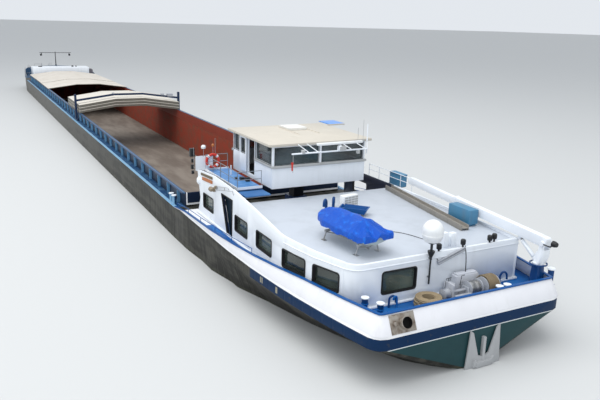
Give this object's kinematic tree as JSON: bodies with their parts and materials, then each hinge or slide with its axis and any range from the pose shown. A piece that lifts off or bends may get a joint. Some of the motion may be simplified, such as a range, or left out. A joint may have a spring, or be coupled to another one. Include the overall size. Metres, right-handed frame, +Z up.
{
  "type": "1:10 scale model of a self-propelled inland dry-cargo river barge",
  "caption": "Inland cargo barge with an open hold, stacked hatch covers under a travelling gantry, aft house with a lifting wheelhouse, deck crane and folding bow mast.",
  "frame": {"origin": "centre of the flat bottom, halfway between the transom and the stem", "axes": "+X towards the bow, +Y to port, +Z up; the waterline is at z = 0.175 m"},
  "size_m": [11.0223, 1.153, 0.901],
  "materials": {
    "hull_paint": "weathered dark grey hull paint",
    "white_paint": "glossy white paint",
    "blue_paint": "blue deck paint",
    "coaming_paint": "light blue paint",
    "dark_paint": "dark blue paint",
    "cream_paint": "cream paint",
    "window_glass": "tinted glass",
    "black_fittings": "black interior fittings",
    "galvanized": "galvanized steel",
    "bronze": "bronze casting",
    "rope": "tan mooring rope",
    "tarpaulin": "blue tarpaulin",
    "aluminium": "bare aluminium",
    "grp": "white moulded plastic"
  },
  "bodies": {
    "barge": {"hull_stern": "hull_paint", "hull_bow": "hull_paint", "hull_bottom": "hull_paint", "hull_side_port": "hull_paint", "hull_side_starboard": "hull_paint", "aft_deck": "blue_paint", "bulwark_aft": "white_paint", "cap_rail_aft": "blue_paint", "bulwark_bow": "blue_paint", "coaming_port": "coaming_paint", "coaming_starboard": "coaming_paint", "hatch_covers_closed": "cream_paint", "hatch_stack": "cream_paint", "house_wall_aft": "white_paint", "house_wall_port": "white_paint", "house_wall_starboard": "white_paint", "house_wall_fore": "white_paint", "house_roof": "white_paint", "house_glass": "window_glass", "tower_glass": "window_glass", "lift_guide": "galvanized", "side_platform": "blue_paint", "crane_base": "blue_paint", "dinghy_hull": "grp", "dinghy_cover": "tarpaulin", "dinghy_cradle": "galvanized", "stern_anchor": "galvanized", "exhaust_outlet": "galvanized", "stern_winch": "galvanized", "windlass": "galvanized", "rope_coil": "rope", "propeller_nozzle": "hull_paint", "bow_house": "white_paint", "satellite_dome": "grp", "cooling_unit": "white_paint", "deck_locker": "coaming_paint", "gangplank": "aluminium", "side_railing": "white_paint"},
    "wheelhouse": {"wheelhouse_walls": "white_paint", "wheelhouse_roof": "cream_paint", "wheelhouse_glass": "window_glass", "wheelhouse_floor": "black_fittings", "radar_yard": "white_paint"},
    "wheelhouse_door": {"wheelhouse_door": "white_paint"},
    "roof_hatch": {"wheelhouse_roof_hatch": "white_paint"},
    "signal_board": {"signal_board": "blue_paint"},
    "radar_scanner": {"radar_scanner": "grp"},
    "house_door": {"house_door": "dark_paint"},
    "gantry": {"gantry_frame": "blue_paint"},
    "crane_column": {"crane_column": "white_paint"},
    "crane_boom": {"crane_boom": "white_paint"},
    "crane_extension": {"crane_extension": "white_paint"},
    "crane_cylinder": {"crane_cylinder": "white_paint"},
    "crane_piston_rod": {"crane_piston_rod": "galvanized"},
    "rudder_port": {"rudder_port": "hull_paint"},
    "rudder_starboard": {"rudder_starboard": "hull_paint"},
    "propeller": {"propeller": "bronze"},
    "stern_winch_drum": {"stern_winch_drum": "galvanized"},
    "windlass_drum": {"windlass_drum": "galvanized"},
    "bow_mast": {"bow_mast": "galvanized"}
  },
  "joints": [
    {"name": "propeller_spin", "type": "hinge", "parent": "barge", "child": "propeller", "pos_m": [-5.17, 0, 0.084], "axis": [1, 0, 0], "continuous": true},
    {"name": "rudder_port_turn", "type": "hinge", "parent": "barge", "child": "rudder_port", "pos_m": [-5.285, 0.042, 0.1], "axis": [0, 0, 1], "range_deg": [-45, 45]},
    {"name": "rudder_starboard_turn", "type": "hinge", "parent": "barge", "child": "rudder_starboard", "pos_m": [-5.285, -0.042, 0.1], "axis": [0, 0, 1], "range_deg": [-45, 45]},
    {"name": "wheelhouse_lift", "type": "slide", "parent": "barge", "child": "wheelhouse", "axis": [0, 0, 1], "range_m": [-0.1, 0.25]},
    {"name": "wheelhouse_door_slide", "type": "slide", "parent": "wheelhouse", "child": "wheelhouse_door", "axis": [-1, 0, 0], "range_m": [0, 0.085]},
    {"name": "roof_hatch_slide", "type": "slide", "parent": "wheelhouse", "child": "roof_hatch", "axis": [-1, 0, 0], "range_m": [0, 0.1]},
    {"name": "signal_board_tilt", "type": "hinge", "parent": "wheelhouse", "child": "signal_board", "pos_m": [-3.813, -0.384, 0.822], "axis": [0, -1, 0], "range_deg": [0, 90]},
    {"name": "radar_spin", "type": "hinge", "parent": "wheelhouse", "child": "radar_scanner", "pos_m": [-4.44, -0.028, 0.825], "axis": [0, 0, 1], "continuous": true},
    {"name": "house_door_swing", "type": "hinge", "parent": "barge", "child": "house_door", "pos_m": [-4.34, 0.48, 0.45], "axis": [0, 0, -1], "range_deg": [0, 90]},
    {"name": "gantry_travel", "type": "slide", "parent": "barge", "child": "gantry", "axis": [1, 0, 0], "range_m": [-3.2, 4.4]},
    {"name": "crane_slew", "type": "hinge", "parent": "barge", "child": "crane_column", "pos_m": [-5.405, -0.393, 0.5336], "axis": [0, 0, -1], "range_deg": [0, 180]},
    {"name": "crane_luff", "type": "hinge", "parent": "crane_column", "child": "crane_boom", "pos_m": [-5.427, -0.393, 0.5846], "axis": [0, -1, 0], "range_deg": [0, 45]},
    {"name": "crane_extend", "type": "slide", "parent": "crane_boom", "child": "crane_extension", "axis": [0.9983, 0, 0.0576], "range_m": [0, 0.16]},
    {"name": "crane_cylinder_pivot", "type": "hinge", "parent": "crane_column", "child": "crane_cylinder", "pos_m": [-5.383, -0.393, 0.5076], "axis": [0, -1, 0], "range_deg": [-2, 35.8]},
    {"name": "crane_rod_slide", "type": "slide", "parent": "crane_cylinder", "child": "crane_piston_rod", "axis": [0.8145, 0, 0.5802], "range_m": [-0.002, 0.065]},
    {"name": "stern_winch_spin", "type": "hinge", "parent": "barge", "child": "stern_winch_drum", "pos_m": [-5.372, -0.06, 0.4266], "axis": [0, 1, 0], "continuous": true},
    {"name": "windlass_spin", "type": "hinge", "parent": "barge", "child": "windlass_drum", "pos_m": [5.2, 0, 0.4276], "axis": [0, 1, 0], "continuous": true},
    {"name": "bow_mast_fold", "type": "hinge", "parent": "barge", "child": "bow_mast", "pos_m": [5.3, 0, 0.547], "axis": [0, -1, 0], "range_deg": [0, 90]}
  ],
  "couplings": [
    {"joint": "rudder_starboard_turn", "follows": "rudder_port_turn", "ratio": 1},
    {"joint": "crane_cylinder_pivot", "follows": "crane_luff", "ratio": 0.75095},
    {"joint": "crane_rod_slide", "follows": "crane_luff", "m_per_rad": 0.080159}
  ]
}
